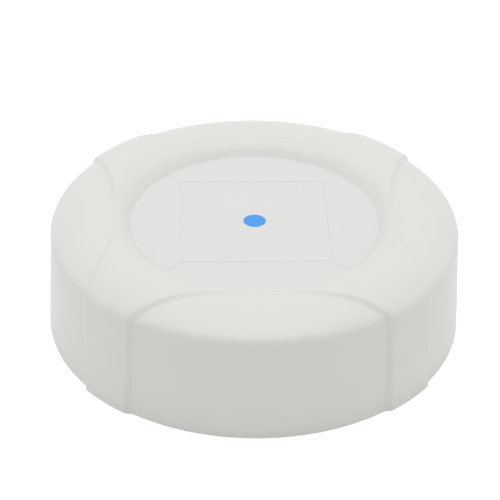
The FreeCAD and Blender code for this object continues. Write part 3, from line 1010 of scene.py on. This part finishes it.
@dataclass
class FaceLabel:
    """The round printed overlay in the housing's recess, with its square and corner lines pressed in."""

    radius: float = Housing.recess_radius
    low: float = Housing.recess_floor
    high: float = 22.79
    rim_round: float = 0.03
    rim_steps: int = 4
    sectors: int = 360
    line_depth: float = 0.035
    line_half: float = LABEL_WHITE.line_width / 2
    square_half: float = LABEL_WHITE.square_half

    def top_faces(self, mesh: BMesh) -> List[BMFace]:
        """The faces that lie flat at the label's full height."""
        low = self.high - 1e-4
        return [face for face in mesh.faces if all(vert.co.z > low for vert in face.verts)]

    def is_pressed(self, face: BMFace) -> bool:
        """Tell whether a face of the divided top lies within a line.

        Args:
            face: a face that no line's edge crosses.

        Returns:
            True within the square's outline or a corner line.
        """
        x, y, _ = (abs(part) for part in face.calc_center_median())
        past_square = max(x, y) - self.square_half
        on_diagonal = abs(x - y) * math.sqrt(0.5) < self.line_half
        return abs(past_square) < self.line_half or (past_square > 0.0 and on_diagonal)

    def press_lines(self, mesh: BMesh) -> None:
        """Divide the top along both edges of every line and sink what lies between them.

        Args:
            mesh: the label, whose top is one flat face.
        """
        square = (self.square_half - self.line_half, self.square_half + self.line_half)
        cuts = [(degrees, reach) for degrees in (0, 90, 180, 270) for reach in square]
        cuts += [(degrees, self.line_half) for degrees in (45, 135, 225, 315)]
        for degrees, reach in cuts:
            turn = math.radians(degrees)
            away = Vector((math.cos(turn), math.sin(turn), 0.0))
            top = self.top_faces(mesh)
            edges = list(dict.fromkeys(edge for face in top for edge in face.edges))
            verts = list(dict.fromkeys(vert for face in top for vert in face.verts))
            bmesh.ops.bisect_plane(mesh, geom=top + edges + verts, plane_co=away * reach, plane_no=away)
        pressed = [face for face in self.top_faces(mesh) if self.is_pressed(face)]
        sunk = bmesh.ops.extrude_face_region(mesh, geom=pressed)["geom"]
        bmesh.ops.delete(mesh, geom=pressed, context="FACES")
        bmesh.ops.translate(mesh, verts=corners_only(sunk), vec=(0.0, 0.0, -self.line_depth))
        bmesh.ops.recalc_face_normals(mesh, faces=mesh.faces[:])

    def build(self) -> bpy.types.Object:
        """Model the label and publish it.

        Returns:
            The label's piece.
        """
        flat_radius, wall_top = self.radius - self.rim_round, self.high - self.rim_round
        section = Section(0.0, self.low).line(self.radius, self.low).line(self.radius, wall_top)
        mesh = section.arc(flat_radius, wall_top, -90.0, self.rim_steps).turned(self.sectors)
        rim = [edge for edge in mesh.edges if edge.is_boundary]
        bmesh.ops.holes_fill(mesh, edges=rim, sides=0)
        self.press_lines(mesh)
        return publish(mesh, "label_overlay", LABEL_WHITE, ["face_label"])


# Screws


@dataclass
class ScrewSet:
    """Equal screws with a rounded head, a cross recess, a core and a helical thread.

    The recess is a ring of twelve corners of which every third is pulled in. Its shares are of the head's
    radius and height, those of the shank, its tip and the thread's root are of the core's radius, and the
    ridge's is of the pitch. The plain length has no thread, below the head and at the point.
    """

    name: str
    node: str
    places: Sequence[Pair]
    seat: float
    head_up: bool
    head_radius: float
    head_height: float
    core_radius: float
    shank_length: float
    pitch: float = 0.9
    head_sectors: int = 48
    rounding: float = 0.3
    rounding_steps: int = 4
    recess_reach: float = 0.62
    recess_notch: float = 0.37
    recess_depth: float = 0.55
    recess_taper: float = 0.8
    shank_share: float = 0.8
    shank_sectors: int = 24
    tip_share: float = 0.35
    plain_length: float = 1.0
    into_head: float = 0.05
    root_share: float = 0.74
    ridge_share: float = 0.22
    steps_per_turn: int = 20
    lean: float = 0.4

    @staticmethod
    def drop_loop(mesh: BMesh, loop: Sequence[BMEdge], depth: float) -> Tuple[List[BMVert], List[BMEdge]]:
        """Draw a wall down from a closed loop of edges.

        Args:
            mesh: the mesh that holds the loop.
            loop: its edges.
            depth: how far the wall goes down.

        Returns:
            The vertices and the edges of the wall's lower end.
        """
        wall = bmesh.ops.extrude_edge_only(mesh, edges=loop)["geom"]
        low = corners_only(wall)
        bmesh.ops.translate(mesh, verts=low, vec=(0.0, 0.0, -depth))
        return low, edges_between(wall, low)

    def head(self) -> BMesh:
        """The head, seated at height 0 and rising, with its cross recess.

        Returns:
            Its mesh, closed.
        """
        mesh = bmesh.new()
        bmesh.ops.create_circle(mesh, radius=self.head_radius, segments=self.head_sectors)
        rim = mesh.edges[:]
        reach = self.head_radius * self.recess_reach
        cross = bmesh.ops.create_circle(mesh, radius=reach, segments=12)["verts"]
        for vert in cross[::3]:
            vert.co *= self.recess_notch
        mouth = [edge for edge in mesh.edges if edge not in rim]
        bmesh.ops.triangle_fill(mesh, edges=mesh.edges[:], use_beauty=True)
        bmesh.ops.translate(mesh, verts=mesh.verts[:], vec=(0.0, 0.0, self.head_height))
        low, floor = self.drop_loop(mesh, mouth, self.recess_depth * self.head_height)
        bmesh.ops.scale(mesh, verts=low, vec=(self.recess_taper, self.recess_taper, 1.0))
        bmesh.ops.triangle_fill(mesh, edges=floor)
        _, seat = self.drop_loop(mesh, rim, self.head_height)
        bmesh.ops.contextual_create(mesh, geom=seat)
        bmesh.ops.bevel(
            mesh,
            geom=rim,
            offset=self.head_height * self.rounding,
            offset_type="OFFSET",
            affect="EDGES",
            segments=self.rounding_steps,
            profile=0.5,
            material=-1,
        )
        bmesh.ops.recalc_face_normals(mesh, faces=mesh.faces[:])
        return mesh

    def shank(self) -> BMesh:
        """The core below the head, drawn in to a blunt point.

        Returns:
            Its mesh, closed.
        """
        core, end = self.core_radius * self.shank_share, -self.shank_length
        section = Section(0.0, self.into_head).line(core, self.into_head)
        section.line(core, end + self.plain_length).line(core * self.tip_share, end).line(0.0, end)
        return section.turned(self.shank_sectors)

    def thread(self) -> BMesh:
        """One helical ridge round the core.

        Returns:
            Its mesh, closed at both ends.
        """
        root, start = self.core_radius * self.root_share, -self.plain_length
        half = self.pitch * self.ridge_share
        ridge = Section(root, start - half).line(self.core_radius, start).line(root, start + half)
        mesh = welded(ridge.line(root, start - half).mesh)
        turns = max(int((self.shank_length - 2.0 * self.plain_length) / self.pitch), 1)
        steps = turns * self.steps_per_turn
        bmesh.ops.spin(
            mesh,
            geom=mesh.verts[:] + mesh.edges[:],
            cent=(0.0, 0.0, 0.0),
            axis=(0.0, 0.0, 1.0),
            angle=FULL_TURN * turns,
            dvec=(0.0, 0.0, -turns * self.pitch / steps),
            steps=steps,
            use_merge=False,
        )
        ends = [edge for edge in mesh.edges if edge.is_boundary]
        bmesh.ops.holes_fill(mesh, edges=ends, sides=4)
        bmesh.ops.recalc_face_normals(mesh, faces=mesh.faces[:])
        return mesh

    def build(self) -> bpy.types.Object:
        """Model one screw, repeat it at every place and publish the set.

        Returns:
            The set's piece.
        """
        centre = (0.0, 0.0, 0.0)
        flip = Matrix.Rotation(0.0 if self.head_up else math.pi, 3, "X")
        screws: List[BMesh] = []
        for x, y in self.places:
            screw = joined([self.head(), self.shank(), self.thread()])
            turn = Matrix.Rotation(math.atan2(y, x) + self.lean, 3, "Z")
            bmesh.ops.rotate(screw, verts=screw.verts[:], cent=centre, matrix=turn @ flip)
            bmesh.ops.translate(screw, verts=screw.verts[:], vec=(x, y, self.seat))
            screws.append(screw)
        return publish(joined(screws), self.name, ZINC, [self.node])


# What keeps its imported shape


@dataclass
class PackedFinishes:
    """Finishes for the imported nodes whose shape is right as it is."""

    finishes: Dict[str, Finish] = field(default_factory=dict)

    def __post_init__(self) -> None:
        """Name each node's finish."""
        self.finishes.update(
            base_plate=BASE_WHITE,
            seal_gasket=SEAL_RUBBER,
            circuit_board=BOARD_GREEN,
            battery_holder=HOLDER_BLACK,
            shield_can=TIN,
            crystal=TIN,
            button_frame=TIN,
            switch_case=TIN,
            radio_chip=CHIP_BLACK,
            chip_antenna=CERAMIC_CREAM,
            status_led=LAMP_RESIN,
            button_housing=BUTTON_BLACK,
            button_plunger=PLUNGER_WHITE,
            switch_slider=SLIDER_BLACK,
            bulk_capacitor=CAPACITOR_YELLOW,
            power_inductor=FERRITE_GREY,
            positive_terminal=NICKEL,
            negative_terminal=NICKEL,
        )
        for row in (1, 2, 3):
            self.finishes["link_contact_%d" % row] = NICKEL
        for row in (1, 2, 3, 4):
            side = 1 if row % 2 else -1
            sleeve = CellSleeve("cell_sleeve_%d" % row, (0.02, 0.10, 0.26), (0.60, 0.61, 0.62), side)
            self.finishes["battery_cell_%d" % row] = sleeve

    def build(self) -> None:
        """Give every named node its material."""
        made: Dict[str, bpy.types.Material] = {}
        for node, finish in self.finishes.items():
            if finish.name not in made:
                made[finish.name] = finish.material()
            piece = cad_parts[node]
            if not piece.data.materials:
                piece.data.materials.append(None)
            for slot in piece.material_slots:
                slot.material = made[finish.name]
            log.info("%s: %s", node, finish.name)


# The studio


@dataclass(frozen=True)
class Panel:
    """A square soft light that faces the beacon: where it hangs, the length of its sides and its power."""

    name: str
    place: Point
    size: float
    watts: float

    def hang(self) -> None:
        """Hang it in the scene."""
        lamp = bpy.data.lights.new(self.name, "AREA")
        lamp.shape = "SQUARE"
        lamp.size = self.size
        lamp.energy = self.watts
        hung = bpy.data.objects.new(self.name, lamp)
        hung.location = self.place
        hung.rotation_mode = "QUATERNION"
        hung.rotation_quaternion = (-hung.location).to_track_quat("-Z", "Y")
        bpy.context.scene.collection.objects.link(hung)


@dataclass
class Studio:
    """A pale floor, soft light from all round and a broad lamp overhead, and the photograph's view."""

    azimuth: float = -2.0229
    elevation: float = 33.6911
    distance: float = 0.44807
    aim: Point = (-0.00087, 0.0, 0.01564)
    roll: float = 0.6566
    lens: float = 156.719
    sensor: float = 36.0
    clip: Pair = (0.01, 50.0)
    sky: float = 0.5
    floor_half: float = 4.0
    floor_glow: float = 0.5
    floor_colour: Tuple[float, float, float, float] = (0.95, 0.95, 0.945, 1.0)
    panels: Tuple[Panel, ...] = (
        Panel("overhead", (0.0, 0.06, 1.1), 0.7, 5.25),
        Panel("side_left", (-0.95, 0.1, 0.35), 0.6, 0.8),
        Panel("side_right", (0.95, 0.1, 0.35), 0.6, 0.8),
        Panel("front", (0.0, -1.1, 0.25), 0.6, 0.38),
        Panel("behind", (0.0, 0.98, 0.76), 0.5, 0.6),
    )

    def floor(self) -> None:
        """Lay the floor, which is white to the camera except where the beacon shades it."""
        mesh = bmesh.new()
        bmesh.ops.create_grid(mesh, x_segments=1, y_segments=1, size=self.floor_half)
        data = bpy.data.meshes.new("floor")
        mesh.to_mesh(data)
        mesh.free()
        graph = Graph("floor_white")
        strength = self.floor_glow * graph.seen_directly()
        glow = graph.node("ShaderNodeEmission", {}, {"Color": WHITE, "Strength": strength})
        paint = graph.node("ShaderNodeBsdfDiffuse", {}, {"Color": self.floor_colour})
        graph.send(graph.node("ShaderNodeAddShader", {}, {0: glow, 1: paint}))
        data.materials.append(graph.owner)
        plane = bpy.data.objects.new("floor", data)
        bpy.context.scene.collection.objects.link(plane)

    def light(self) -> None:
        """Set the even light of the surroundings, and hang the broad panel above and weaker ones around."""
        graph = Graph("studio", world=True)
        bpy.context.scene.world = graph.owner
        levels = {"Value": graph.seen_directly(), "To Min": self.sky, "To Max": 1.0}
        strength = graph.node("ShaderNodeMapRange", {}, levels)
        even = graph.node("ShaderNodeBackground", {}, {"Color": WHITE, "Strength": strength})
        graph.send(even, "ShaderNodeOutputWorld")
        for panel in self.panels:
            panel.hang()

    def camera(self) -> None:
        """Stand the camera where the photograph was taken from."""
        data = bpy.data.cameras.new("photo_view")
        data.lens = self.lens
        data.sensor_width = self.sensor
        data.clip_start, data.clip_end = self.clip
        turn, rise = math.radians(self.azimuth), math.radians(self.elevation)
        back = Vector((math.sin(turn) * math.cos(rise), -math.cos(turn) * math.cos(rise), math.sin(rise)))
        camera = bpy.data.objects.new("photo_view", data)
        camera.location = Vector(self.aim) + back * self.distance
        camera.rotation_mode = "QUATERNION"
        level = (-back).to_track_quat("-Z", "Y")
        camera.rotation_quaternion = level @ Quaternion((0.0, 0.0, 1.0), math.radians(self.roll))
        bpy.context.scene.collection.objects.link(camera)
        bpy.context.scene.camera = camera

    def build(self) -> None:
        """Set up the floor, the light, the camera and the plain view transform."""
        self.floor()
        self.light()
        self.camera()
        bpy.context.scene.view_settings.view_transform = "Standard"


def main() -> None:
    """Build the beacon and its studio."""
    logging.basicConfig(level=logging.INFO, format="%(name)s %(message)s")
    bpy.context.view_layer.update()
    Studio().build()
    housing = Housing()
    housing.build()
    FaceLabel().build()
    reach = housing.boss_circle
    ScrewSet(
        name="base_screws",
        node="case_screws",
        places=[(reach, 0.0), (0.0, reach), (-reach, 0.0), (0.0, -reach)],
        seat=1.9,
        head_up=False,
        head_radius=2.7,
        head_height=1.6,
        core_radius=1.2,
        shank_length=11.1,
    ).build()
    ScrewSet(
        name="laminate_screws",
        node="board_screws",
        places=[(34.0, 12.5), (-34.0, -12.5)],
        seat=5.2,
        head_up=True,
        head_radius=1.9,
        head_height=1.3,
        core_radius=0.8,
        shank_length=3.8,
        pitch=0.6,
    ).build()
    PackedFinishes().build()


if __name__ == "__main__":
    main()
